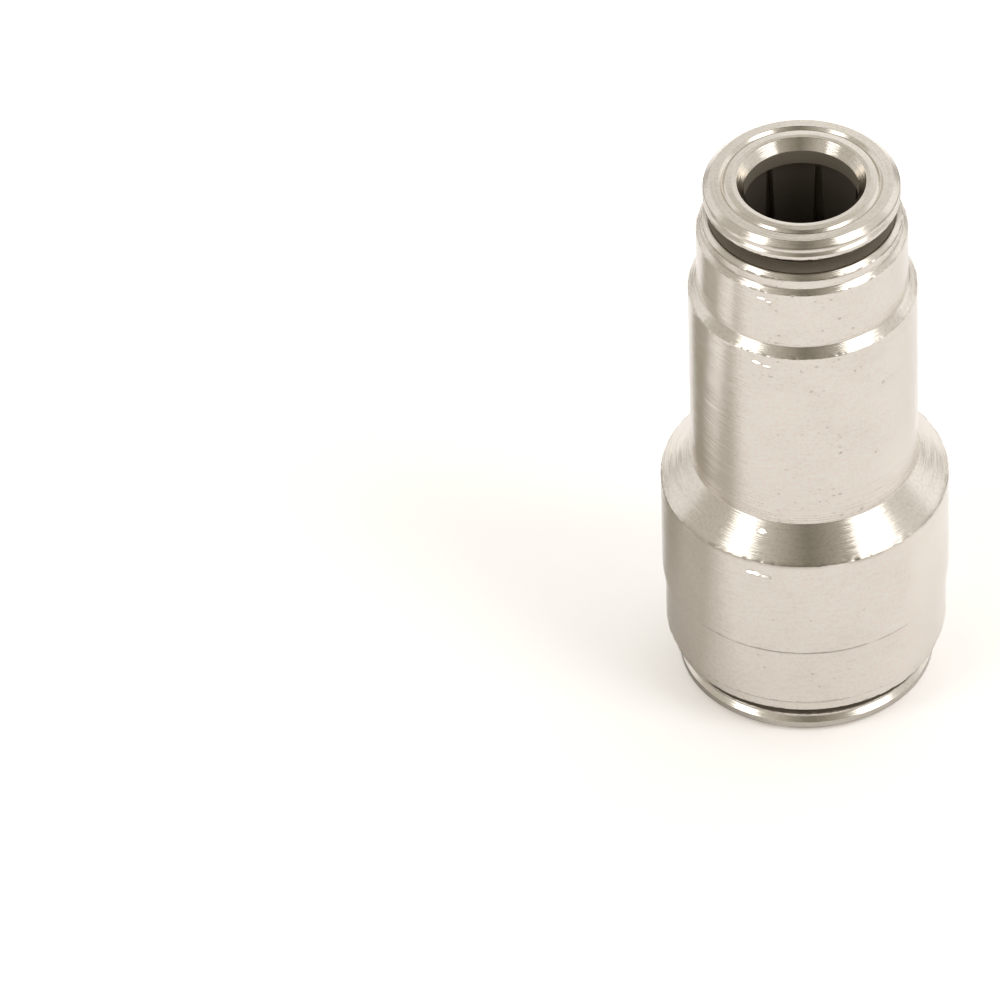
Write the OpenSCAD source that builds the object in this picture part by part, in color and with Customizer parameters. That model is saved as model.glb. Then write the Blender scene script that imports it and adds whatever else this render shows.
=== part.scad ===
// Reducing push-in connector for two sizes of rigid or flexible tube.
// A one-piece turned body stands on its large end. Each end holds an O-ring and a
// slotted collet: a tube is pushed in through the collet and the O-ring up to a stop,
// the collet's teeth grip it, and pressing the collet's flange lets it go.
// Origin: centre of the large collet's face, which the connector stands on. +Z is the axis.
// A value that differs between the ends is named small_ or large_.

/* [Tubes] */
// Outer diameter of the small tube
small_tube_d = 6.35; // [5.8:0.05:6.8]
// Outer diameter of the large tube
large_tube_d = 9.53; // [8.8:0.05:10]
// Radial clearance round a tube in the bores that guide it
tube_clearance = 0.05; // [0.03:0.01:0.1]
// Depth of the plain bore that holds the end of the small tube
small_socket_len = 3.8; // [3:0.1:5]
// Depth of the plain bore that holds the end of the large tube
large_socket_len = 3.8; // [3:0.1:5]
// Diameter of the passage between the two sockets
passage_d = 4.6; // [3.5:0.1:5.2]
// Length of the passage between the two stop shoulders
passage_len = 3.3; // [2:0.1:6]

/* [Body, outside] */
// Wall of the small barrel outside the collet's chamber
small_wall = 1.62; // [1.3:0.02:2.2]
// Wall of the large barrel outside the collet's chamber
large_wall = 1.76; // [1.3:0.02:2.4]
// Length of the narrower band behind the small mouth
small_band_len = 3.78; // [2:0.02:5]
// Length of the narrower band behind the large mouth
large_band_len = 3.8; // [2:0.02:5]
// Height of the step from the small band up to its barrel
small_band_step = 0.51; // [0.2:0.01:0.8]
// Height of the step from the large band up to its barrel
large_band_step = 0.18; // [0.1:0.01:0.5]
// Length of the large barrel between its band and the cone
large_barrel_len = 6.62; // [6:0.02:8]
// Height of the short rim at each mouth
rim_h = 0.56; // [0.3:0.02:1]
// Chamfer from a rim to its band
rim_chamfer = 0.29; // [0.1:0.01:0.5]
// Chamfer from a mouth's face to its rim
mouth_chamfer = 0.29; // [0.1:0.01:0.5]

/* [Body, inside] */
// Radial clearance between a collet and the bore it slides in
slide_clearance = 0.1; // [0.05:0.01:0.14]
// Length of the plain bore that guides a collet's neck
guide_len = 3.4; // [2.6:0.1:4]
// Rise of the cone that closes a collet's fingers as it is pulled out
cone_rise = 0.63; // [0.4:0.01:0.8]
// Angle of that cone to the axis
cone_angle = 20; // [14:0.5:30]
// Edge break where a guide bore opens at its mouth
bore_edge = 0.12; // [0.05:0.01:0.2]
// Thickness of the rib between a collet's chamber and its O-ring groove
rib_w = 0.7; // [0.5:0.05:1.2]
// Height of that rib above the floor of the groove
rib_h = 0.7; // [0.4:0.05:0.8]

/* [O-rings] */
// Thickness of the small O-ring
small_ring_d = 1.6; // [1.4:0.05:1.8]
// Thickness of the large O-ring
large_ring_d = 1.78; // [1.5:0.02:2]
// Radial squeeze of a tube on its O-ring
ring_squeeze = 0.15; // [0.05:0.01:0.18]
// Room on each side of an O-ring in its groove
ring_side_room = 0.1; // [0.05:0.01:0.3]
// Gap between an O-ring and the floor of its groove
ring_floor_gap = 0.02; // [0.01:0.01:0.04]

/* [Collets] */
// Gap between flange and mouth when a collet is out
gap_out = 1.15; // [1:0.05:1.6]
// Gap between flange and mouth when a collet is pushed in
gap_in = 0.47; // [0.3:0.01:0.7]
// Room between finger tips and rib when a collet is pushed in
tip_clearance = 0.04; // [0.02:0.01:0.1]
// Length of the small collet behind its flange
small_fingers_len = 7.9; // [7.2:0.1:9.5]
// Length of the large collet behind its flange
large_fingers_len = 8.2; // [7.5:0.1:10]
// Thickness of the small flange
small_flange_h = 1.15; // [1.05:0.05:1.6]
// Thickness of the large flange
large_flange_h = 1.45; // [1.3:0.05:1.8]
// How far the small flange's edge lies inside its mouth's rim
small_flange_inset = 0.13; // [0.05:0.01:0.3]
// How far the large flange's edge lies inside its mouth's rim
large_flange_inset = 0.46; // [0.05:0.01:0.6]
// Chamfer round a flange's face
flange_chamfer = 0.36; // [0.2:0.01:0.45]
// Width of the V groove round the small flange's edge
small_edge_groove_w = 0.33; // [0.15:0.01:0.4]
// Width of the V groove round the large flange's edge
large_edge_groove_w = 0.47; // [0.2:0.01:0.5]
// Distance from a flange's back to the middle of its edge groove
edge_groove_at = 0.42; // [0.35:0.01:0.5]
// Width of the flat lip round the small mouth
small_lip_w = 0.61; // [0.4:0.01:0.7]
// Width of the flat lip round the large mouth
large_lip_w = 0.8; // [0.5:0.01:0.9]
// Width of the V groove in a flange's face, outside the lip
face_groove_w = 0.37; // [0.2:0.01:0.45]
// Radial width of the lead-in chamfer at a mouth
lead_in_w = 0.45; // [0.3:0.01:0.6]
// Depth of the lead-in chamfer
lead_in_depth = 0.54; // [0.3:0.02:0.8]
// Depth below the face where the throat ends
throat_end = 1.55; // [1.2:0.05:1.8]
// How far the bore of the fingers lies outside the throat
relief_depth = 0.4; // [0.2:0.01:0.5]
// Thickness of a finger
finger_wall = 0.5; // [0.4:0.01:0.6]
// Chamfer on the outer edge of the finger tips
tip_chamfer = 0.2; // [0.1:0.01:0.3]

/* [Collet slots and teeth] */
// Number of slots in each collet
slot_count = 8; // [4:1:10]
// Width of a slot at its root
slot_root_w = 0.35; // [0.2:0.05:0.5]
// Width of a small collet's slot at the finger tips
small_slot_tip_w = 0.9; // [0.5:0.05:1.1]
// Width of a large collet's slot at the finger tips
large_slot_tip_w = 1.25; // [0.5:0.05:1.4]
// Length of the unslotted neck behind a flange
neck_len = 0.7; // [0.5:0.05:1]
// Turn of the small collet's first slot
small_slot_turn = 28; // [0:1:44]
// Turn of the large collet's first slot
large_slot_turn = 10; // [0:1:44]
// Number of rings of teeth in each collet
tooth_count = 3; // [2:1:3]
// Spacing of the rings of teeth
tooth_pitch = 0.5; // [0.4:0.02:0.6]
// How far the tips of the teeth stand inside a tube's surface
tooth_bite = 0.07; // [0.02:0.01:0.12]
// Depth of the teeth
tooth_depth = 0.22; // [0.1:0.01:0.3]

/* [Hidden] */
$fn = 96;
nickel = [0.86, 0.83, 0.77];
black_rubber = [0.07, 0.07, 0.07];

// Each list below holds the value for the small end and the value for the large end.
SMALL = 0;
LARGE = 1;
tube_r = [small_tube_d / 2, large_tube_d / 2];
socket_len = [small_socket_len, large_socket_len];
ring_d = [small_ring_d, large_ring_d];
fingers_len = [small_fingers_len, large_fingers_len];
flange_h = [small_flange_h, large_flange_h];
flange_inset = [small_flange_inset, large_flange_inset];
edge_groove_w = [small_edge_groove_w, large_edge_groove_w];
lip_w = [small_lip_w, large_lip_w];
slot_tip_w = [small_slot_tip_w, large_slot_tip_w];
slot_turn = [small_slot_turn, large_slot_turn];

function both(values, more) = [for (v = values) v + more];

// Bores, from the tube's surface outwards
socket_r = both(tube_r, tube_clearance);
finger_bore_r = both(socket_r, relief_depth);
neck_r = both(finger_bore_r, finger_wall);
guide_r = both(neck_r, slide_clearance);
head_r = both(neck_r, cone_rise);
chamber_r = both(guide_r, cone_rise);
cone_len = cone_rise / tan(cone_angle);

// O-rings and their grooves
ring_inner_r = both(tube_r, -ring_squeeze);
ring_outer_r = ring_inner_r + ring_d;
groove_r = both(ring_outer_r, ring_floor_gap);
groove_w = both(ring_d, 2 * ring_side_room);

// Depths inside the body, from each mouth
rib_at = both(fingers_len, tip_clearance - gap_in);
groove_at = both(rib_at, rib_w);
socket_at = groove_at + groove_w;
stop_at = socket_at + socket_len;

// Outside of the body
barrel_r = chamber_r + [small_wall, large_wall];
band_r = barrel_r - [small_band_step, large_band_step];
rim_r = both(band_r, -rim_chamfer);
mouth_r = both(rim_r, -mouth_chamfer);
band_at = mouth_chamfer + rim_h + rim_chamfer;

// Heights along the axis: the large collet is pushed in and the small one is out
large_mouth_z = large_flange_h + gap_in;
small_mouth_z = large_mouth_z + stop_at[LARGE] + passage_len + stop_at[SMALL];
top_z = small_mouth_z + gap_out + small_flange_h;

// Collets
flange_r = rim_r - flange_inset;
lip_r = both(socket_r, lead_in_w);
plain_neck_len = guide_len + gap_out;
tooth_tip_r = both(tube_r, -tooth_bite);
tooth_root_r = both(tooth_tip_r, tooth_depth);
grip_len = tooth_count * tooth_pitch + tip_chamfer;
grip_ramp = 0.35;
tooth_front = 0.8;
relief_ramp = 0.2;
past = 1;

// Points of the body's outline at one mouth, as [radius, depth], from the mouth's face
function mouth_outline(e, band_len) = [
    [mouth_r[e], 0],
    [rim_r[e], mouth_chamfer],
    [rim_r[e], mouth_chamfer + rim_h],
    [band_r[e], band_at],
    [band_r[e], band_at + band_len],
    [barrel_r[e], band_at + band_len + barrel_r[e] - band_r[e]]
];

// Points of the bore behind one mouth, as [radius, depth], from the stop to the mouth
function bore_outline(e) = [
    [passage_d / 2, stop_at[e]],
    [socket_r[e], stop_at[e]],
    [socket_r[e], socket_at[e]],
    [groove_r[e], socket_at[e]],
    [groove_r[e], groove_at[e]],
    [groove_r[e] - rib_h, groove_at[e]],
    [groove_r[e] - rib_h, rib_at[e]],
    [chamber_r[e], rib_at[e]],
    [chamber_r[e], guide_len + cone_len],
    [guide_r[e], guide_len],
    [guide_r[e], bore_edge],
    [guide_r[e] + bore_edge, 0]
];

// Depths from the two mouths become heights
function from_small_mouth(points) = [for (p = points) [p[0], small_mouth_z - p[1]]];
function from_large_mouth(points) = [for (p = points) [p[0], large_mouth_z + p[1]]];
function backwards(points) = [for (i = [len(points) - 1:-1:0]) points[i]];

// The body is one turned piece, so it is one outline spun round the axis
module body() {
    cone_foot_z = large_mouth_z + band_at + large_band_len + large_band_step + large_barrel_len;
    cone_top_z = cone_foot_z + barrel_r[LARGE] - barrel_r[SMALL];
    outline = concat(
        from_small_mouth(bore_outline(SMALL)),
        from_small_mouth(mouth_outline(SMALL, small_band_len)),
        [[barrel_r[SMALL], cone_top_z], [barrel_r[LARGE], cone_foot_z]],
        backwards(from_large_mouth(mouth_outline(LARGE, large_band_len))),
        backwards(from_large_mouth(bore_outline(LARGE)))
    );
    color(nickel) rotate_extrude() polygon(outline);
}

// Sawtooth rings inside the finger tips, as [radius, depth], deepest first. Each ramp
// faces the mouth, so a tube slides in over it and is held against pulling out.
function teeth_outline(e, first, last) = concat(
    [[tooth_root_r[e], last]],
    [for (i = [tooth_count - 1:-1:0]) each [
        [tooth_root_r[e], first + (i + 1) * tooth_pitch],
        [tooth_tip_r[e], first + (i + tooth_front) * tooth_pitch],
        [tooth_root_r[e], first + i * tooth_pitch]
    ]]
);

// Outline of one collet, as [radius, depth below its face]
function collet_outline(e) =
    let (end = flange_h[e] + fingers_len[e])
    let (grip_at = end - grip_len)
    let (cone_at = flange_h[e] + plain_neck_len)
    let (groove_mid = flange_h[e] - edge_groove_at)
    let (face_groove_mid = lip_r[e] + lip_w[e] + face_groove_w / 2)
    concat(
        [
            [lip_r[e], 0],
            [lip_r[e] + lip_w[e], 0],
            [face_groove_mid, face_groove_w / 2],
            [face_groove_mid + face_groove_w / 2, 0],
            [flange_r[e] - flange_chamfer, 0],
            [flange_r[e], flange_chamfer],
            [flange_r[e], groove_mid - edge_groove_w[e] / 2],
            [flange_r[e] - edge_groove_w[e] / 2, groove_mid],
            [flange_r[e], groove_mid + edge_groove_w[e] / 2],
            [flange_r[e], flange_h[e]],
            [neck_r[e], flange_h[e]],
            [neck_r[e], cone_at],
            [head_r[e], cone_at + cone_len],
            [head_r[e], end - tip_chamfer],
            [head_r[e] - tip_chamfer, end]
        ],
        teeth_outline(e, grip_at, end),
        [
            [finger_bore_r[e], grip_at - grip_ramp],
            [finger_bore_r[e], throat_end + relief_ramp],
            [socket_r[e], throat_end],
            [socket_r[e], lead_in_depth]
        ]
    );

// One slot, cut outwards through the wall and open at the finger tips
module slot(e) {
    root = flange_h[e] + neck_len;
    tip = flange_h[e] + fingers_len[e];
    flare = (slot_tip_w[e] - slot_root_w) / (tip - root);
    wide = slot_tip_w[e] + flare * past;
    rotate([90, 0, 90])
        linear_extrude(height = head_r[e] + past)
            polygon([
                [-slot_root_w / 2, root],
                [slot_root_w / 2, root],
                [wide / 2, tip + past],
                [-wide / 2, tip + past]
            ]);
}

// A collet is one turned piece, slotted into spring fingers. Its face lies on Z = 0
// and its fingers point up.
module collet(e) {
    difference() {
        rotate_extrude() polygon(collet_outline(e));
        for (i = [0:slot_count - 1])
            rotate([0, 0, slot_turn[e] + i * 360 / slot_count]) slot(e);
    }
}

module small_collet() {
    color(nickel) translate([0, 0, top_z]) mirror([0, 0, 1]) collet(SMALL);
}

module large_collet() {
    color(nickel) collet(LARGE);
}

module o_ring(e, z) {
    translate([0, 0, z])
        rotate_extrude()
            translate([ring_inner_r[e] + ring_d[e] / 2, 0])
                circle(d = ring_d[e], $fn = 48);
}

module small_o_ring() {
    color(black_rubber) o_ring(SMALL, small_mouth_z - groove_at[SMALL] - groove_w[SMALL] / 2);
}

module large_o_ring() {
    color(black_rubber) o_ring(LARGE, large_mouth_z + groove_at[LARGE] + groove_w[LARGE] / 2);
}

body();
small_collet();
large_collet();
small_o_ring();
large_o_ring();
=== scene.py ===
import math

import bmesh
import bpy
from mathutils import Matrix, Vector


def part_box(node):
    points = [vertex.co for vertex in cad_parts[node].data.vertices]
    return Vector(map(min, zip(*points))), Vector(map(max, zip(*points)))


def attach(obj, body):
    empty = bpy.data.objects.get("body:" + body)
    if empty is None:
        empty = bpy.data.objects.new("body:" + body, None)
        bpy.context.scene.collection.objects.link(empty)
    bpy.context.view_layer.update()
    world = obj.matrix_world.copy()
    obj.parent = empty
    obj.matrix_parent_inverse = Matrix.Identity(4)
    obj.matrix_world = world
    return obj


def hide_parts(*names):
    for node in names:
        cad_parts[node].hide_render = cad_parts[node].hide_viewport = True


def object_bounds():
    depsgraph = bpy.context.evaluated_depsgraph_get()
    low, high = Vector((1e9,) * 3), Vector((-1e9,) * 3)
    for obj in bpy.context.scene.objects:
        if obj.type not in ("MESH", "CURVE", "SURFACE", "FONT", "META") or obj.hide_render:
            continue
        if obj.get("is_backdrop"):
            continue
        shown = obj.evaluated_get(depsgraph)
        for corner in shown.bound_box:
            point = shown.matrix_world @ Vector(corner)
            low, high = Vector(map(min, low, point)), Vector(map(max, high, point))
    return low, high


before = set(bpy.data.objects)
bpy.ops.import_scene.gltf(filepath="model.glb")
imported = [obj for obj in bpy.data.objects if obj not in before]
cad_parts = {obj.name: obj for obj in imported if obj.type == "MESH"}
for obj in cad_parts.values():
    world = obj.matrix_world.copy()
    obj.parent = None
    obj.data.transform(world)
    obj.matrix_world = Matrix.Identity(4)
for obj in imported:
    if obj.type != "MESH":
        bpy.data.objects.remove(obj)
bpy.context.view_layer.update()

# Body.
# One bar of brass, turned inside and out on a lathe, with a barrel for each size of tube and a
# 45 degree cone between them. It is plated with bright nickel after turning, so fine tool marks
# run round it, small pits show on the small barrel, and the edge at the cone's foot is nicked.
MM = 0.001
SMALL, LARGE = 0, 1
body_low, body_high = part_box("body")
mouth_z = (body_high.z / MM, body_low.z / MM)
into = (-1, 1)
tube_r = (3.175, 4.765)
TUBE_ROOM = 0.05
FINGER_RELIEF = 0.4
FINGER_WALL = 0.5
GUIDE_ROOM = 0.1
socket_r = [r + TUBE_ROOM for r in tube_r]
finger_bore_r = [r + FINGER_RELIEF for r in socket_r]
neck_r = [r + FINGER_WALL for r in finger_bore_r]
guide_r = [r + GUIDE_ROOM for r in neck_r]
CONE_RISE = 0.63
CONE_LENGTH = CONE_RISE / math.tan(math.radians(20))
chamber_r = [r + CONE_RISE for r in guide_r]
GUIDE_LENGTH = 3.4
BORE_EDGE = 0.12
RIB_WIDTH = 0.7
RIB_HEIGHT = 0.7
ring_d = (1.6, 1.78)
SIDE_ROOM = 0.1
RING_ROOM = 0.02
TIP_ROOM = 0.04
SOCKET_LENGTH = 3.8
ring_outer_r = [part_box(n)[1].x / MM for n in ("small_o_ring", "large_o_ring")]
groove_r = [r + RING_ROOM for r in ring_outer_r]
fingers_length = (7.9, 8.2)
GAP_OUT, GAP_IN = 1.15, 0.47
rib_at = [length - GAP_IN + TIP_ROOM for length in fingers_length]
groove_at = [at + RIB_WIDTH for at in rib_at]
socket_at = [at + d + 2 * SIDE_ROOM for at, d in zip(groove_at, ring_d)]
stop_at = [at + SOCKET_LENGTH for at in socket_at]
PASSAGE_R = 2.3
SMALL_WALL = 1.62
barrel_r = (chamber_r[SMALL] + SMALL_WALL, body_high.x / MM)
band_step = (0.51, 0.18)
band_r = [r - step for r, step in zip(barrel_r, band_step)]
band_length = (3.78, 3.8)
MOUTH_CHAMFER = 0.29
RIM_HEIGHT = 0.56
rim_r = [r - MOUTH_CHAMFER for r in band_r]
LARGE_BARREL_LENGTH = 6.62
ROUND_STEPS = 480
SOFT_EDGE = 0.045
FINE_EDGE = 0.03
CORNER_ROOM = 0.45
FLAT_REACH = 0.05
# How far painted shade fades out beside an edge or corner that holds it.
SHADE_REACH = 0.1
RIM_WEAR = 0.12
step_wear = (0.24, 0.08)
FOOT_WEAR = 0.4
# Painted shade, as a share of the stain colour, at the mouth's chamfer, the rim's inner corner, the step
# and the cone's foot.
mouth_shade = (0.6, 0)
RIM_SHADE = 0.4
step_shade = (0.2, 0.7)
FOOT_SHADE = 0.5
NICKEL = (0.742, 0.696, 0.63, 1)
# A dark brown for stains and pits, also used as painted shade at edges and corners.
STAIN_AND_SHADE = (0.2, 0.165, 0.125, 1)
DING_FLATNESS = 2.5
# The larger dings: a place on the surface, a width, and how steeply the facet leans up.
DINGS = [
    (-3.2, -7.55, 12.78, 0.5, 0.87), (-2.5, -7.81, 12.68, 0.36, 0.87), (-2.66, -6.45, 14.92, 0.32, 0.0),
    (-2.8, -5.84, 27.2, 0.36, 0.87), (-2.25, -6.07, 27.06, 0.26, 0.87), (-2.5, -5.42, 31.6, 0.34, 0.87),
    (-2.05, -5.6, 31.44, 0.2, 0.87)]


def level(end, depth):
    """Height of a point that lies at a depth behind one mouth."""
    return mouth_z[end] + into[end] * depth


def eased(corners, edge=SOFT_EDGE, arc_steps=4, wear_steps=5):
    """Outline with its corners turned to short arcs, as (radius, height, wear, painted shade). A corner can
    add its own edge radius, where 0 keeps it sharp, the width of a worn zone on each side of it, and
    how much painted shade darkens it. Points beside an arc keep the straight parts flat in shading."""
    points = []
    for i, corner in enumerate(corners):
        here = Vector(corner[:2])
        before, after = Vector(corners[i - 1][:2]), Vector(corners[(i + 1) % len(corners)][:2])
        radius, worn, corner_shade = list(corner[2:]) + [edge, 0, 0][len(corner) - 2:]
        back, on = before - here, after - here
        turn = math.pi - back.angle(on)
        room, next_room = CORNER_ROOM * back.length, CORNER_ROOM * on.length
        if radius == 0 or turn < 0.01:
            points.append((*here, 0, 0))
            continue
        reach = min(radius * math.tan(turn / 2), room, next_room)
        back.normalize()
        on.normalize()
        radius = reach / math.tan(turn / 2)
        centre = here + (back + on).normalized() * (radius / math.cos(turn / 2))
        spin = here + back * reach - centre
        sign = 1 if back.cross(on) < 0 else -1
        beside = [(reach + (SHADE_REACH if corner_shade else FLAT_REACH), 0)]
        if worn:
            beside = [(reach + worn * k / wear_steps, (1 - k / wear_steps) ** 2)
                      for k in range(1, wear_steps + 1)]
        wear = 1 if worn else 0
        points += [(*(here + back * away), fade * wear, fade * corner_shade)
                   for away, fade in reversed(beside) if away < room]
        for k in range(arc_steps + 1):
            place = centre + Matrix.Rotation(sign * turn * k / arc_steps, 2) @ spin
            points.append((*place, wear, corner_shade))
        points += [(*(here + on * away), fade * wear, fade * corner_shade)
                   for away, fade in beside if away < next_room]
    return points


def mouth_outline(end):
    """Outside of the body at one mouth, as (radius, height), from the mouth's face."""
    band_at = 2 * MOUTH_CHAMFER + RIM_HEIGHT
    step_at = band_at + band_length[end]
    return [
        (rim_r[end] - MOUTH_CHAMFER, level(end, 0), SOFT_EDGE, 0, mouth_shade[end]),
        (rim_r[end], level(end, MOUTH_CHAMFER), SOFT_EDGE, RIM_WEAR, mouth_shade[end]),
        (rim_r[end], level(end, MOUTH_CHAMFER + RIM_HEIGHT), SOFT_EDGE, 0, RIM_SHADE),
        (band_r[end], level(end, band_at), SOFT_EDGE, RIM_WEAR),
        (band_r[end], level(end, step_at), SOFT_EDGE, 0, step_shade[end]),
        (barrel_r[end], level(end, step_at + barrel_r[end] - band_r[end]), SOFT_EDGE, step_wear[end]),
    ]


def bore_outline(end):
    """Inside of the body behind one mouth, as (radius, height), from the stop to the mouth."""
    rib_r = groove_r[end] - RIB_HEIGHT
    return [
        (PASSAGE_R, level(end, stop_at[end]), 0),
        (socket_r[end], level(end, stop_at[end]), 0),
        (socket_r[end], level(end, socket_at[end]), 0),
        (groove_r[end], level(end, socket_at[end]), 0),
        (groove_r[end], level(end, groove_at[end]), 0),
        (rib_r, level(end, groove_at[end]), 0),
        (rib_r, level(end, rib_at[end]), 0),
        (chamber_r[end], level(end, rib_at[end]), 0),
        (chamber_r[end], level(end, GUIDE_LENGTH + CONE_LENGTH), 0),
        (guide_r[end], level(end, GUIDE_LENGTH), 0),
        (guide_r[end], level(end, BORE_EDGE), FINE_EDGE),
        (guide_r[end] + BORE_EDGE, level(end, 0), FINE_EDGE),
    ]


def put(tree, kind, values=None, **settings):
    """Adds a node. Its settings are its properties; its values are numbers, or sockets to link."""
    node = tree.nodes.new(kind)
    for name, value in settings.items():
        setattr(node, name, value)
    for name, value in (values or {}).items():
        socket = node.inputs[name]
        if isinstance(value, bpy.types.NodeSocket):
            tree.links.new(value, socket)
        else:
            socket.default_value = value
    return node


def maths(tree, operation, *values):
    """Adds a Math node and returns its result."""
    node = put(tree, "ShaderNodeMath", dict(enumerate(values)), operation=operation)
    return node.outputs[0]


def vectors(tree, operation, *values):
    """Adds a Vector Math node and returns its result, a number for a length or a dot product."""
    node = put(tree, "ShaderNodeVectorMath", dict(enumerate(values)), operation=operation)
    return node.outputs["Value" if operation in ("LENGTH", "DOT_PRODUCT") else "Vector"]


def product(tree, *values):
    """Multiplies any number of values."""
    total = values[0]
    for value in values[1:]:
        total = maths(tree, "MULTIPLY", total, value)
    return total


def from_axis(tree, x, y):
    """Distance of a point from Z."""
    return maths(tree, "SQRT", maths(tree, "ADD", product(tree, x, x), product(tree, y, y)))


def mixed(tree, factor, first, second):
    """Goes from the first colour to the second as the factor goes from 0 to 1."""
    return put(tree, "ShaderNodeMix", {"Factor": factor, 6: first, 7: second}, data_type="RGBA").outputs[2]


def ramp(tree, value, start, stop, low=0.0, high=1.0, curve="SMOOTHSTEP"):
    """Goes from one value to another while what it follows goes from start to stop."""
    return put(tree, "ShaderNodeMapRange", {
        "Value": value, "From Min": start, "From Max": stop, "To Min": low, "To Max": high},
        interpolation_type=curve).outputs[0]


def geometry_tree(name, inputs):
    """A Geometry Nodes tree with a geometry in and out, and named inputs as (name, kind)."""
    tree = bpy.data.node_groups.new(name, "GeometryNodeTree")
    for title, kind in [("Geometry", "NodeSocketGeometry")] + inputs:
        tree.interface.new_socket(title, in_out="INPUT", socket_type=kind)
    tree.interface.new_socket("Geometry", in_out="OUTPUT", socket_type="NodeSocketGeometry")
    return tree, tree.nodes.new("NodeGroupInput").outputs, tree.nodes.new("NodeGroupOutput").inputs


def turning_tree():
    """Spins an outline, drawn as edges in the XZ plane, round Z. Noise dents and raises it where
    the outline is marked as worn, and what is marked as inner gets its own material."""
    tree, given, result = geometry_tree("Turned on the lathe", [
        ("Round Steps", "NodeSocketInt"), ("Nick Depth", "NodeSocketFloat"),
        ("Burr Height", "NodeSocketFloat"), ("Nick Scale", "NodeSocketFloat"),
        ("Material", "NodeSocketMaterial"), ("Inner Material", "NodeSocketMaterial")])
    hub = 1 * MM
    line = put(tree, "GeometryNodeMeshToCurve", {"Mesh": given["Geometry"]})
    spot = put(tree, "GeometryNodeInputPosition").outputs[0]
    place = put(tree, "ShaderNodeSeparateXYZ", {"Vector": spot})
    flat = put(tree, "ShaderNodeCombineXYZ", {
        "X": maths(tree, "SUBTRACT", place.outputs["X"], hub),
        "Y": maths(tree, "MULTIPLY", place.outputs["Z"], -1.0)})
    laid = put(tree, "GeometryNodeSetPosition", {
        "Geometry": line.outputs[0], "Position": flat.outputs[0]})
    circle = put(tree, "GeometryNodeCurvePrimitiveCircle", {
        "Resolution": given["Round Steps"], "Radius": hub})
    turned = put(tree, "GeometryNodeCurveToMesh", {
        "Curve": circle.outputs[0], "Profile Curve": laid.outputs[0]})

    noise = put(tree, "ShaderNodeTexNoise", {
        "Vector": vectors(tree, "MULTIPLY", spot, (1, 1, 2.5)), "Scale": given["Nick Scale"],
        "Detail": 3.0}).outputs[0]
    nicks = product(tree, given["Nick Depth"], ramp(tree, noise, 0.5, 0.66))
    burrs = product(tree, given["Burr Height"], ramp(tree, noise, 0.44, 0.34))
    wear = put(tree, "GeometryNodeInputNamedAttribute", {"Name": "wear"}, data_type="FLOAT").outputs[0]
    push = put(tree, "ShaderNodeVectorMath", {
        0: put(tree, "GeometryNodeInputNormal").outputs[0],
        "Scale": maths(tree, "MULTIPLY", wear, maths(tree, "SUBTRACT", burrs, nicks))}, operation="SCALE")
    nicked = put(tree, "GeometryNodeSetPosition", {
        "Geometry": turned.outputs[0], "Offset": push.outputs[0]})
    real = put(tree, "GeometryNodeRealizeInstances", {"Geometry": nicked.outputs[0]})
    painted = put(tree, "GeometryNodeSetMaterial", {
        "Geometry": real.outputs[0], "Material": given["Material"]})
    inner = put(tree, "GeometryNodeInputNamedAttribute", {"Name": "inner"}, data_type="FLOAT").outputs[0]
    lined = put(tree, "GeometryNodeSetMaterial", {
        "Geometry": painted.outputs[0], "Material": given["Inner Material"],
        "Selection": maths(tree, "GREATER_THAN", inner, 0.9)})
    tree.links.new(lined.outputs[0], result["Geometry"])
    return tree


def apply_tree(piece, tree, values):
    """Runs a tree on a piece with these inputs, and keeps the result as the piece's plain mesh."""
    modifier = piece.modifiers.new(tree.name, "NODES")
    modifier.node_group = tree
    names = {s.name: s.identifier for s in tree.interface.items_tree if s.in_out == "INPUT"}
    for name, value in values.items():
        modifier[names[name]] = value
    shaped = piece.evaluated_get(bpy.context.evaluated_depsgraph_get())
    mesh = bpy.data.meshes.new_from_object(shaped)
    piece.modifiers.remove(modifier)
    piece.data = mesh
    return piece


def smooth_below(piece, degrees=35):
    """Points faces outwards, and shades them smooth except across sharper edges."""
    shell = bmesh.new()
    shell.from_mesh(piece.data)
    bmesh.ops.remove_doubles(shell, verts=shell.verts, dist=1e-7)
    bmesh.ops.recalc_face_normals(shell, faces=shell.faces)
    for face in shell.faces:
        face.smooth = True
    for edge in shell.edges:
        edge.smooth = len(edge.link_faces) == 2 and edge.calc_face_angle() < math.radians(degrees)
    shell.to_mesh(piece.data)
    shell.free()


def drawn(name, points, inner=None):
    """An object whose mesh is a closed line in the XZ plane, from points as (radius, height, wear,
    painted shade). It runs clockwise, so that a spun surface faces outwards. Inner tells which points
    lie inside, where a darker, duller copy of the nickel paints shade."""
    points = [Vector(p) for p in points]
    area = sum(points[i - 1].xy.cross(p.xy) for i, p in enumerate(points))
    if area > 0:
        points.reverse()
    mesh = bpy.data.meshes.new(name)
    count = len(points)
    mesh.from_pydata(
        [(p.x * MM, 0, p.y * MM) for p in points], [(i, (i + 1) % count) for i in range(count)], [])
    kept = {"wear": [p.z for p in points], "corner_shade": [p.w for p in points]}
    if inner:
        kept["inner"] = [float(inner(p.x, p.y)) for p in points]
    for title, values in kept.items():
        mesh.attributes.new(title, "FLOAT", "POINT").data.foreach_set("value", values)
    piece = bpy.data.objects.new(name, mesh)
    bpy.context.scene.collection.objects.link(piece)
    return piece


def shader_group(name, inputs, outputs):
    """A shader node group with inputs, as {name: (kind, value)}, and outputs, as {name: kind}."""
    tree = bpy.data.node_groups.new(name, "ShaderNodeTree")
    for title, (kind, value) in inputs.items():
        tree.interface.new_socket(title, in_out="INPUT", socket_type=kind).default_value = value
    for title, kind in outputs.items():
        tree.interface.new_socket(title, in_out="OUTPUT", socket_type=kind)
    return tree, tree.nodes.new("NodeGroupInput").outputs, tree.nodes.new("NodeGroupOutput").inputs


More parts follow.
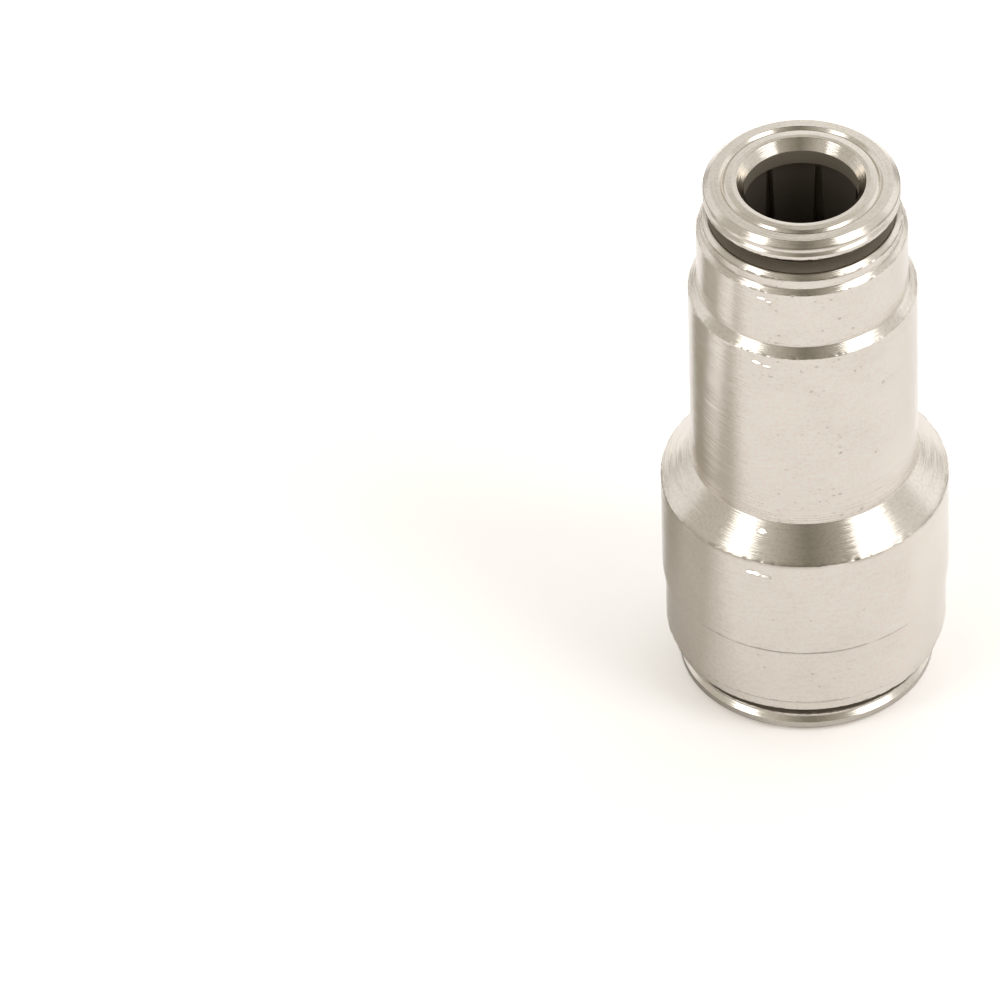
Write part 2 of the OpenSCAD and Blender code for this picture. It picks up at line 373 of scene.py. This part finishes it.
def turned_finish_group():
    """Tool marks, pits and slight stains of a turned and plated surface, with painted shade where the
    outline marks it: a colour, a roughness and a height in metres. Rings follow the radius and the
    height, and change slowly round Z."""
    tree, given, result = shader_group(
        "Turned and plated finish",
        {"Plate": ("NodeSocketColor", NICKEL), "Stain And Shade": ("NodeSocketColor", STAIN_AND_SHADE),
         "Roughness": ("NodeSocketFloat", 0.16), "Marks": ("NodeSocketFloat", 1.0),
         "Pits": ("NodeSocketFloat", 0.0), "Painted Shade": ("NodeSocketFloat", 0.0)},
        {"Color": "NodeSocketColor", "Roughness": "NodeSocketFloat", "Height": "NodeSocketFloat"})
    place = put(tree, "ShaderNodeTexCoord")
    spot = place.outputs["Object"]
    x, y, z = put(tree, "ShaderNodeSeparateXYZ", {"Vector": spot}).outputs
    radius = from_axis(tree, x, y)
    side = maths(tree, "DIVIDE", x, radius)
    front = maths(tree, "DIVIDE", y, radius)

    def rings(slow, scale, detail):
        """Noise in rings round Z. Slow is how far the pattern drifts round the axis, in metres."""
        at = put(tree, "ShaderNodeCombineXYZ", {"X": radius, "Y": z, "Z": product(tree, side, slow)})
        return put(tree, "ShaderNodeTexNoise", {
            "Vector": at.outputs[0], "Scale": scale, "Detail": detail}).outputs[0]

    fine = rings(0.1 * MM, 24000.0, 0.0)
    broken = rings(0.6 * MM, 9000.0, 1.0)
    broad = rings(0.3 * MM, 1500.0, 1.0)
    patches = put(tree, "ShaderNodeTexNoise", {"Vector": spot, "Scale": 420.0, "Detail": 3.0}).outputs[0]

    cells = put(tree, "ShaderNodeTexVoronoi", {
        "Vector": vectors(tree, "MULTIPLY", spot, (1, 1, 1.4)), "Scale": 2300.0})
    chance, size, strength = put(tree, "ShaderNodeSeparateColor", {"Color": cells.outputs["Color"]}).outputs
    clustered = ramp(tree, patches, 0.42, 0.68, 0.05, 1.0, "LINEAR")
    above = ramp(tree, z, 13 * MM, 16 * MM, 0.3, 1.0, "LINEAR")
    tilt = put(tree, "ShaderNodeSeparateXYZ", {"Vector": place.outputs["Normal"]}).outputs["Z"]
    upright = maths(tree, "LESS_THAN", maths(tree, "ABSOLUTE", tilt), 0.3)
    facing = maths(tree, "ADD", 0.12, ramp(tree, front, -0.85, -1.0))
    share = product(tree, given["Pits"], above, facing, clustered, upright)
    pit_size = maths(tree, "ADD", 0.2, product(tree, size, 0.4))
    pit_tone = maths(tree, "ADD", 0.1, product(tree, strength, 0.5))
    dot = ramp(tree, cells.outputs["Distance"], 0.0, pit_size, 1.0, 0.0)
    pit = product(tree, maths(tree, "LESS_THAN", chance, share), dot, pit_tone)

    rugged = put(tree, "ShaderNodeTexNoise", {"Vector": spot, "Scale": 5000.0, "Detail": 2.0})
    dings = 0.0
    for *middle, width, climb in DINGS:
        off = vectors(tree, "SUBTRACT", spot, [v * MM for v in middle])
        tilted = vectors(tree, "DOT_PRODUCT", off, (0.15, 0, -climb))
        shrink = [1 / (v * MM) for v in (width, width, width / DING_FLATNESS)]
        spread = vectors(tree, "MULTIPLY_ADD", off, shrink, rugged.outputs["Color"])
        spread = vectors(tree, "SUBTRACT", spread, (0.5, 0.5, 0.5))
        inside = ramp(tree, vectors(tree, "LENGTH", spread), 1.0, 0.8)
        dings = maths(tree, "ADD", dings, product(tree, tilted, inside))

    tint = ramp(tree, maths(tree, "ADD", product(tree, patches, 0.6), product(tree, broken, 0.4)),
                0.45, 0.75, 0.0, 0.1, "LINEAR")
    tint = maths(tree, "ADD", tint, ramp(tree, rugged.outputs[0], 0.42, 0.66, 0.0, 0.09, "LINEAR"))
    # Painted shade: marked edges and corners darken towards the stain colour, in patches.
    shade_held = product(tree, given["Painted Shade"], ramp(tree, patches, 0.34, 0.52, 0.0, 1.0, "LINEAR"))
    amount = maths(tree, "MAXIMUM", tint, maths(tree, "MAXIMUM", pit, shade_held))
    tree.links.new(mixed(tree, amount, given["Plate"], given["Stain And Shade"]), result["Color"])
    scuffed = product(tree, maths(tree, "SUBTRACT", broken, 0.5), 0.16)
    rough = maths(tree, "ADD", given["Roughness"], scuffed)
    tree.links.new(maths(tree, "ADD", rough, product(tree, pit, 0.3)), result["Roughness"])
    marks = maths(tree, "ADD", product(tree, fine, 0.006 * MM), product(tree, broken, 0.005 * MM))
    marks = maths(tree, "ADD", marks, product(tree, broad, 0.004 * MM))
    high = maths(tree, "ADD", dings, product(tree, marks, given["Marks"]))
    tree.links.new(maths(tree, "SUBTRACT", high, product(tree, pit, 0.015 * MM)), result["Height"])
    return tree


turned_finish = turned_finish_group()


def nickel(name, pits, marks, roughness, plate=NICKEL, metallic=1.0):
    """Nickel-plated brass that was turned before plating. Painted shade from the outline darkens its
    colour; its metallic value is given.
    """
    material = bpy.data.materials.new(name)
    material.use_nodes = True
    tree = material.node_tree
    shader = tree.nodes["Principled BSDF"]
    corner_shade = put(tree, "ShaderNodeAttribute", {}, attribute_name="corner_shade")
    finish = put(tree, "ShaderNodeGroup", {}, node_tree=turned_finish)
    for title, value in (("Plate", plate), ("Pits", pits), ("Marks", marks), ("Roughness", roughness)):
        finish.inputs[title].default_value = value
    tree.links.new(corner_shade.outputs["Fac"], finish.inputs["Painted Shade"])
    bump = put(tree, "ShaderNodeBump", {"Height": finish.outputs["Height"], "Distance": 1.0})
    tree.links.new(finish.outputs["Color"], shader.inputs["Base Color"])
    tree.links.new(finish.outputs["Roughness"], shader.inputs["Roughness"])
    tree.links.new(bump.outputs[0], shader.inputs["Normal"])
    shader.inputs["Metallic"].default_value = metallic
    return material


turning = turning_tree()
body_plate = nickel("plated_body", pits=0.8, marks=1.3, roughness=0.16)
# Painted shade: a darker, duller copy of the nickel for the body's bore and mouth faces, and the collets'
# throats, necks and flange backs.
shaded_inner_plate = nickel(
    "shaded_dull_inside", pits=0.0, marks=1.5, roughness=0.5, plate=(0.37, 0.33, 0.27, 1), metallic=0.35)
foot_z = level(LARGE, 2 * MOUTH_CHAMFER + RIM_HEIGHT + band_length[LARGE]
               + barrel_r[LARGE] - band_r[LARGE] + LARGE_BARREL_LENGTH)
cone = [(barrel_r[SMALL], foot_z + barrel_r[LARGE] - barrel_r[SMALL]),
        (barrel_r[LARGE], foot_z, SOFT_EDGE, FOOT_WEAR, FOOT_SHADE)]
body_outline = eased(
    bore_outline(SMALL) + mouth_outline(SMALL) + cone
    + mouth_outline(LARGE)[::-1] + bore_outline(LARGE)[::-1])


def inside_body(radius, height):
    """Whether a point of the body's outline lies in its bore or on a mouth's flat face, where the darker
    copy of the nickel paints shade.
    """
    end = SMALL if height > foot_z else LARGE
    return radius < rim_r[end] - MOUTH_CHAMFER - SOFT_EDGE


fitting_body = drawn("fitting_body", body_outline, inside_body)
apply_tree(fitting_body, turning, {
    "Round Steps": ROUND_STEPS, "Nick Depth": 0.03 * MM, "Burr Height": 0.012 * MM, "Nick Scale": 2200.0,
    "Material": body_plate, "Inner Material": shaded_inner_plate})
smooth_below(fitting_body)
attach(fitting_body, "body")
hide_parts("body")

# Collets.
# One at each end, turned from brass, slotted from the inner end into eight spring fingers, and
# plated. Rings of teeth inside the finger tips grip the tube. Each slides in the body's guide
# bore; the small one stands out, and the large one is pushed in by the fitting's weight.
flange_h = (1.15, 1.45)
flange_step = (0.13, 0.46)
flange_r = [r - step for r, step in zip(rim_r, flange_step)]
face_z = (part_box("small_collet")[1].z / MM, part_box("large_collet")[0].z / MM)
LEAD_IN_WIDTH = 0.43
lip_r = [r + LEAD_IN_WIDTH for r in socket_r]
lip_width = (0.61, 0.8)
LIP_CROWN = 0.03
LIP_MIDDLE = 0.4
LIP_CURVE = 0.3
COLLET_EDGE = 0.04
FLANGE_CHAMFER = 0.36
FLANGE_WEAR = 0.06
# Painted shade at the flange's edges.
FLANGE_SHADE = 0.6
EDGE_GROOVE_AT = 0.42
edge_groove_width = (0.33, 0.55)
FACE_GROOVE_WIDTH = 0.37
NECK_LENGTH = 0.7
THROAT_END = 1.55
LEAD_IN_DEPTH = 0.62
RELIEF_RAMP = 0.2
TIP_CHAMFER = 0.2
TEETH = 3
TOOTH_PITCH = 0.5
TOOTH_FRONT = 0.8
GRIP_RAMP = 0.35
TOOTH_BITE = 0.07
TOOTH_HEIGHT = 0.22
tooth_tip_r = [r - TOOTH_BITE for r in tube_r]
tooth_root_r = [r + TOOTH_HEIGHT for r in tooth_tip_r]
SLOTS = 8
slot_turn = (28, 10)
SLOT_ROOT = 0.35
slot_tip = (0.9, 1.25)
PAST_TIPS = 1
PAST_WALL = 2
THROAT_SLACK = 0.02
BACK_SLACK = 0.002
LINING_SLACK = 0.05


def collet_outline(end):
    """Section of a collet, as (radius, height), from its lip to its fingers and back."""
    tips_at = flange_h[end] + fingers_length[end]
    grip_at = tips_at - TEETH * TOOTH_PITCH - TIP_CHAMFER
    cone_at = flange_h[end] + GUIDE_LENGTH + GAP_OUT
    head_r = neck_r[end] + CONE_RISE
    groove_mid = flange_h[end] - EDGE_GROOVE_AT
    groove_half = edge_groove_width[end] / 2
    lip_end = lip_r[end] + lip_width[end]
    lip_mid = lip_r[end] + LIP_MIDDLE * lip_width[end]
    section = [
        (lip_r[end], LIP_CROWN / 2),
        (lip_mid, 0, LIP_CURVE),
        (lip_end, LIP_CROWN, FINE_EDGE),
        (lip_end + FACE_GROOVE_WIDTH / 2, FACE_GROOVE_WIDTH / 2, FINE_EDGE),
        (lip_end + FACE_GROOVE_WIDTH, LIP_CROWN / 2, FINE_EDGE),
        (flange_r[end] - FLANGE_CHAMFER, LIP_CROWN),
        (flange_r[end], FLANGE_CHAMFER, COLLET_EDGE, 0, FLANGE_SHADE),
        (flange_r[end], groove_mid - groove_half, FINE_EDGE),
        (flange_r[end] - groove_half, groove_mid, FINE_EDGE),
        (flange_r[end], groove_mid + groove_half, FINE_EDGE),
        (flange_r[end], flange_h[end], SOFT_EDGE, FLANGE_WEAR, FLANGE_SHADE),
        (neck_r[end], flange_h[end], 0),
        (neck_r[end], cone_at, 0),
        (head_r, cone_at + CONE_LENGTH, 0),
        (head_r, tips_at - TIP_CHAMFER, 0),
        (head_r - TIP_CHAMFER, tips_at, 0),
        (tooth_root_r[end], tips_at, 0),
    ]
    for i in reversed(range(TEETH)):
        section += [
            (tooth_root_r[end], grip_at + (i + 1) * TOOTH_PITCH, 0),
            (tooth_tip_r[end], grip_at + (i + TOOTH_FRONT) * TOOTH_PITCH, 0),
        ]
    section += [
        (tooth_root_r[end], grip_at, 0),
        (finger_bore_r[end], grip_at - GRIP_RAMP, 0),
        (finger_bore_r[end], THROAT_END + RELIEF_RAMP, 0),
        (socket_r[end], THROAT_END, FINE_EDGE),
        (socket_r[end], LEAD_IN_DEPTH, FINE_EDGE),
    ]
    return [(p[0], face_z[end] + into[end] * p[1], *p[2:]) for p in section]


def slotting_tree():
    """Cuts equal slots through the wall of a turned piece. Each is a wedge that widens to the tips.
    The slots, and the bore behind the throat, get the bore's material, a darker copy of the nickel that
    paints shade."""
    tree, given, result = geometry_tree("Slotted into fingers", [
        ("Slots", "NodeSocketInt"), ("First Turn", "NodeSocketFloat"),
        ("Root Height", "NodeSocketFloat"), ("End Height", "NodeSocketFloat"),
        ("Root Width", "NodeSocketFloat"), ("End Width", "NodeSocketFloat"), ("Reach", "NodeSocketFloat"),
        ("Face Height", "NodeSocketFloat"), ("Throat End", "NodeSocketFloat"),
        ("Bore Radius", "NodeSocketFloat"), ("Bore Material", "NodeSocketMaterial")])
    block = put(tree, "GeometryNodeMeshCube", {"Size": (1, 1, 1)})
    spot = put(tree, "GeometryNodeInputPosition").outputs[0]
    x, y, z = put(tree, "ShaderNodeSeparateXYZ", {"Vector": spot}).outputs
    out = maths(tree, "ADD", x, 0.5)
    along = maths(tree, "ADD", z, 0.5)

    def between(low, high):
        """Goes from low to high along the slot."""
        return ramp(tree, along, 0.0, 1.0, low, high, "LINEAR")

    wedge = put(tree, "ShaderNodeCombineXYZ", {
        "X": product(tree, out, given["Reach"]),
        "Y": product(tree, y, between(given["Root Width"], given["End Width"])),
        "Z": between(given["Root Height"], given["End Height"])})
    cutter = put(tree, "GeometryNodeSetPosition", {
        "Geometry": block.outputs[0], "Position": wedge.outputs[0]})
    cutter = put(tree, "GeometryNodeSetMaterial", {
        "Geometry": cutter.outputs[0], "Material": given["Bore Material"]})
    number = put(tree, "GeometryNodeInputIndex").outputs[0]
    turn = maths(tree, "DIVIDE", product(tree, number, math.tau), given["Slots"])
    spin = put(tree, "ShaderNodeCombineXYZ", {"Z": maths(tree, "ADD", turn, given["First Turn"])})
    cutters = put(tree, "GeometryNodeInstanceOnPoints", {
        "Points": put(tree, "GeometryNodePoints", {"Count": given["Slots"]}).outputs[0],
        "Instance": cutter.outputs[0],
        "Rotation": put(tree, "FunctionNodeEulerToRotation", {"Euler": spin.outputs[0]}).outputs[0]})
    real = put(tree, "GeometryNodeRealizeInstances", {"Geometry": cutters.outputs[0]})
    cut = put(tree, "GeometryNodeMeshBoolean", {
        "Mesh 1": given["Geometry"], "Mesh 2": real.outputs[0]}, operation="DIFFERENCE", solver="EXACT")
    depth = maths(tree, "ABSOLUTE", maths(tree, "SUBTRACT", z, given["Face Height"]))
    past_throat = maths(tree, "GREATER_THAN", depth, given["Throat End"])
    in_bore = maths(tree, "LESS_THAN", from_axis(tree, x, y), given["Bore Radius"])
    lined = put(tree, "GeometryNodeSetMaterial", {
        "Geometry": cut.outputs[0], "Material": given["Bore Material"],
        "Selection": product(tree, past_throat, in_bore)})
    tree.links.new(lined.outputs[0], result["Geometry"])
    return tree


slotting = slotting_tree()
collet_plate = nickel("plated_collet", pits=0.03, marks=0.8, roughness=0.15)
# Painted shade: a darker copy of the nickel still, for the finger bores and the slots.
shaded_bore_plate = nickel(
    "shaded_dark_bore", pits=0.0, marks=1.5, roughness=0.4, plate=(0.2, 0.17, 0.14, 1), metallic=0.35)
for end, name in ((SMALL, "small_collet"), (LARGE, "large_collet")):
    def shaded_here(radius, height):
        """Whether a point lies in the collet's throat, or on its flange's back or beyond, where the darker
        copy of the nickel paints shade.
        """
        behind = abs(height - face_z[end])
        throat = radius < socket_r[end] + THROAT_SLACK and behind > LEAD_IN_DEPTH
        return throat or (radius < flange_r[end] - SOFT_EDGE and behind > flange_h[end] - BACK_SLACK)

    collet = drawn(f"{name}_turned", eased(collet_outline(end), edge=COLLET_EDGE), shaded_here)
    apply_tree(collet, turning, {
        "Round Steps": ROUND_STEPS, "Nick Depth": 0.03 * MM, "Burr Height": 0.02 * MM, "Nick Scale": 2600.0,
        "Material": collet_plate, "Inner Material": shaded_inner_plate})
    root_at = flange_h[end] + NECK_LENGTH
    tips_at = flange_h[end] + fingers_length[end]
    past_tips = tips_at + PAST_TIPS
    flare = (slot_tip[end] - SLOT_ROOT) / (tips_at - root_at)
    heights = sorted((face_z[end] + into[end] * at, width) for at, width in (
        (root_at, SLOT_ROOT), (past_tips, slot_tip[end] + flare * PAST_TIPS)))
    apply_tree(collet, slotting, {
        "Slots": SLOTS, "First Turn": math.radians(slot_turn[end]),
        "Root Height": heights[0][0] * MM, "Root Width": heights[0][1] * MM,
        "End Height": heights[1][0] * MM, "End Width": heights[1][1] * MM,
        "Reach": (neck_r[end] + PAST_WALL) * MM, "Face Height": face_z[end] * MM,
        "Throat End": (THROAT_END + LINING_SLACK) * MM,
        "Bore Radius": (finger_bore_r[end] + LINING_SLACK) * MM, "Bore Material": shaded_bore_plate})
    smooth_below(collet)
    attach(collet, name)
    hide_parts(name)

# O-rings.
# Moulded black rubber, one in each groove behind a collet, where it seals round the tube.
rubber = bpy.data.materials.new("seal_rubber")
rubber.use_nodes = True
rubber_mix = rubber.node_tree
rubber_shader = rubber_mix.nodes["Principled BSDF"]
grain = put(rubber_mix, "ShaderNodeTexNoise", {
    "Vector": put(rubber_mix, "ShaderNodeTexCoord").outputs["Object"], "Scale": 9000.0,
    "Detail": 3.0}).outputs[0]
dents = put(rubber_mix, "ShaderNodeBump", {"Height": grain, "Distance": 0.004 * MM})
rubber_mix.links.new(ramp(rubber_mix, grain, 0.0, 1.0, 0.012, 0.03), rubber_shader.inputs["Base Color"])
rubber_mix.links.new(ramp(rubber_mix, grain, 0.0, 1.0, 0.35, 0.55), rubber_shader.inputs["Roughness"])
rubber_mix.links.new(dents.outputs[0], rubber_shader.inputs["Normal"])
RING_SECTION_STEPS = 48
RING_ROUND_STEPS = 192
for end, name in ((SMALL, "small_o_ring"), (LARGE, "large_o_ring")):
    low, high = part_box(name)
    half = (high.z - low.z) / 2 / MM
    centre = Vector((high.x / MM - half, (high.z + low.z) / 2 / MM))
    section = [
        (centre.x + half * math.cos(a), centre.y + half * math.sin(a), 0, 0)
        for a in (math.tau * k / RING_SECTION_STEPS for k in range(RING_SECTION_STEPS))]
    ring = drawn(f"{name}_moulded", section)
    apply_tree(ring, turning, {"Round Steps": RING_ROUND_STEPS, "Material": rubber})
    smooth_below(ring)
    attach(ring, "body")
    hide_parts(name)

# Studio.
# A white sweep, a white wall of light behind, two softboxes beside the camera with a dark gap
#  between them, and a painted reflection on the sweep, a taupe patch low on the left that only the metal
#  shows.
scene = bpy.context.scene
scene.view_settings.view_transform = "Standard"

FLOOR_HALF = 1.5
FLOOR_DROP = 0.02 * MM
FLOOR_GAIN = 1.6
PAPER_SEEN = (1, 1, 1.015, 1)
PAPER_MATT = (0.9, 0.885, 0.865, 1)
PAPER_WHITE = (0.855, 0.857, 0.888, 1)
# The colour of the painted reflection, a taupe patch that only the metal shows.
PAINTED_REFLECTION_TAUPE = (0.365, 0.344, 0.306, 1)
floor_mesh = bpy.data.meshes.new("floor")
floor_mesh.from_pydata(
    [(x * FLOOR_HALF, y * FLOOR_HALF, -FLOOR_DROP) for x, y in ((-1, -1), (1, -1), (1, 1), (-1, 1))],
    [], [(0, 1, 2, 3)])
floor = bpy.data.objects.new("floor", floor_mesh)
scene.collection.objects.link(floor)
floor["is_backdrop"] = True
paper = bpy.data.materials.new("white_paper")
paper.use_nodes = True
sheet = paper.node_tree
sheet.nodes.remove(sheet.nodes["Principled BSDF"])
rays = put(sheet, "ShaderNodeLightPath").outputs
mirrored = maths(sheet, "MAXIMUM", rays["Is Glossy Ray"], rays["Is Transmission Ray"])
seen = maths(sheet, "MAXIMUM", rays["Is Camera Ray"], mirrored)
east, north = put(sheet, "ShaderNodeSeparateXYZ", {
    "Vector": put(sheet, "ShaderNodeTexCoord").outputs["Object"]}).outputs[:2]
away = from_axis(sheet, east, north)


def north_of_line(slope, offset):
    """How far north a floor point lies of a line that climbs by the slope to the east, in metres."""
    return maths(sheet, "SUBTRACT", maths(sheet, "SUBTRACT", north, product(sheet, east, slope)), offset)


# Painted reflection: a taupe patch that only the metal shows, with a slanted near edge, a soft far
#  end, a paler left end with a painted pale highlight strip across it, and a slanted right border. It is
#  a little paler close to the fitting.
painted_pale_strip = product(
    sheet, ramp(sheet, maths(sheet, "ABSOLUTE", north_of_line(0.79, 27.6 * MM)), 7.5 * MM, 3 * MM),
    ramp(sheet, east, -25 * MM, -29 * MM))
painted_patch = maths(
    sheet, "ADD", ramp(sheet, north_of_line(0.25, -10.5 * MM), 2 * MM, 9 * MM, 0.0, 0.75, "LINEAR"),
    ramp(sheet, north, 0.0, 9 * MM, 0.0, 0.25))
painted_patch = product(
    sheet, painted_patch, ramp(sheet, north, 32 * MM, 22 * MM), ramp(sheet, east, -42 * MM, -30 * MM, 0.6, 1.0),
    ramp(sheet, north_of_line(-1.7, -9.3 * MM), 0.0, -5 * MM), maths(sheet, "SUBTRACT", 1.0, painted_pale_strip),
    ramp(sheet, away, 12 * MM, 24 * MM, 0.84, 1.0))
# Painted reflection and painted shadow: what the metal shows of the paper is brighter on the right
#  and far off, and darker beside the fitting and at the paper's ends. The camera sees the paper evenly
#  white.
right_side = product(
    sheet, ramp(sheet, north, -14 * MM, 10 * MM, 0.0, 0.2, "LINEAR"), ramp(sheet, away, 28 * MM, 18 * MM),
    ramp(sheet, east, -5 * MM, 5 * MM))
gain = maths(sheet, "ADD", ramp(sheet, away, 12 * MM, 24 * MM, 1.0, 1.05),
             ramp(sheet, north, 30 * MM, 60 * MM, 0.0, 0.2))
gain = product(
    sheet, maths(sheet, "ADD", gain, right_side), ramp(sheet, away, 7.9 * MM, 9.3 * MM, 0.75, 1.0),
    ramp(sheet, away, 0.12, 0.3, 1.0, 0.45))
reflected = mixed(sheet, painted_patch, PAPER_WHITE, PAINTED_REFLECTION_TAUPE)
lifted = put(sheet, "ShaderNodeVectorMath", {0: reflected, "Scale": gain}, operation="SCALE")
tone = mixed(sheet, rays["Is Glossy Ray"], PAPER_SEEN, lifted.outputs[0])
strong = put(sheet, "ShaderNodeVectorMath", {0: tone, "Scale": FLOOR_GAIN}, operation="SCALE")
matt = put(sheet, "ShaderNodeBsdfDiffuse", {"Color": PAPER_MATT})
lit = put(sheet, "ShaderNodeBsdfDiffuse", {"Color": strong.outputs[0]})
lift = put(sheet, "ShaderNodeMixShader", {0: seen, 1: matt.outputs[0], 2: lit.outputs[0]})
# Seen from below, or from the face that stands on it, the paper is clear.
under = maths(sheet, "MAXIMUM", put(sheet, "ShaderNodeNewGeometry").outputs["Backfacing"],
              maths(sheet, "LESS_THAN", rays["Ray Length"], 4 * FLOOR_DROP))
below = put(sheet, "ShaderNodeMixShader", {
    0: under, 1: lift.outputs[0], 2: put(sheet, "ShaderNodeBsdfTransparent").outputs[0]})
sheet.links.new(below.outputs[0], sheet.nodes["Material Output"].inputs["Surface"])
floor_mesh.materials.append(paper)

world = bpy.data.worlds.new("studio")
scene.world = world
world.use_nodes = True
sky = world.node_tree
to_east, to_north, height = put(sky, "ShaderNodeSeparateXYZ", {
    "Vector": put(sky, "ShaderNodeTexCoord").outputs["Generated"]}).outputs
bearing = maths(sky, "ARCTAN2", to_east, product(sky, to_north, -1.0))
round_to_back = maths(sky, "ABSOLUTE", bearing)


def degrees(*angles):
    """Angles in radians."""
    return [math.radians(a) for a in angles]


BOX_STRENGTH = 1.9


def softbox(start, stop, soft_start, soft_stop):
    """A box of light between two bearings, with soft edges."""
    return product(sky, ramp(sky, bearing, *degrees(start, start + soft_start)),
                   ramp(sky, bearing, *degrees(stop, stop - soft_stop)),
                   ramp(sky, height, 0.36, 0.4), ramp(sky, height, 0.84, 0.88, 1.0, 0.0), BOX_STRENGTH)


# The dark gap between the boxes, the walls beside them, and the wall of light behind.
front = maths(sky, "ADD", ramp(sky, bearing, *degrees(0, 36), 0.24, 0.5, "LINEAR"),
              ramp(sky, bearing, *degrees(0, -36), 0.0, 0.4, "LINEAR"))
side = ramp(sky, bearing, *degrees(-60, 60), 0.62, 0.82)
back = product(sky, ramp(sky, height, 0.5, 0.95, 1.05, 0.4),
               ramp(sky, bearing, *degrees(-130, 130), 0.93, 1.1))


def blend(amount, first, second):
    """First where the amount is 0, and second where it is 1."""
    return maths(sky, "ADD", first, product(sky, amount, maths(sky, "SUBTRACT", second, first)))


walls = blend(ramp(sky, round_to_back, *degrees(44, 60)), front, side)
walls = blend(ramp(sky, round_to_back, *degrees(100, 109)), walls, back)
walls = product(sky, walls, ramp(sky, height, 0.86, 0.95, 1.0, 0.15))
boxes = maths(sky, "ADD", softbox(-71, -48, 4, 1.5), softbox(42.5, 79, 1.5, 9))
brightness = maths(sky, "MAXIMUM", maths(sky, "ADD", walls, boxes), ramp(sky, height, 0.3, 0.1))
brightness = product(sky, brightness, ramp(sky, height, 0.0, 0.09, 0.45, 1.0))
brightness = maths(sky, "MAXIMUM", brightness, put(sky, "ShaderNodeLightPath").outputs["Is Camera Ray"])
DIM_TINT = (1, 0.892, 0.68, 1)
BRIGHT_TINT = (1, 0.985, 0.96, 1)
background = sky.nodes["Background"]
sky.links.new(brightness, background.inputs["Strength"])
sky.links.new(mixed(sky, brightness, DIM_TINT, BRIGHT_TINT), background.inputs["Color"])

# Camera.
# A long lens from the front, 42 degrees above the table and leaning a little. It aims left of the
# fitting, which therefore stands on the right of the frame.
LENS = 514.48
ELEVATION, ROLL = 42.232, -1.758
AIM_HEIGHT = 16.073
CAMERA_DISTANCE, LEFT_OF_AIM, BELOW_AIM = 812.24, 17.396, 2.964
camera = bpy.data.objects.new("camera", bpy.data.cameras.new("camera"))
scene.collection.objects.link(camera)
scene.camera = camera
camera.data.sensor_width = 36
camera.data.lens = LENS
camera.data.clip_start, camera.data.clip_end = 0.05, 10
rise = math.radians(ELEVATION)
roll = math.radians(ROLL)
aim = Vector((0, 0, AIM_HEIGHT)) * MM
ahead = Vector((0, math.cos(rise), -math.sin(rise)))
right = Vector((1, 0, 0))
up = right.cross(ahead)
camera.location = aim - ahead * CAMERA_DISTANCE * MM - right * LEFT_OF_AIM * MM - up * BELOW_AIM * MM
turned_right = math.cos(roll) * right + math.sin(roll) * up
turned_up = math.cos(roll) * up - math.sin(roll) * right
camera.matrix_world = Matrix.Translation(camera.location) @ Matrix(
    (turned_right, turned_up, -ahead)).transposed().to_4x4()

low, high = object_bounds()
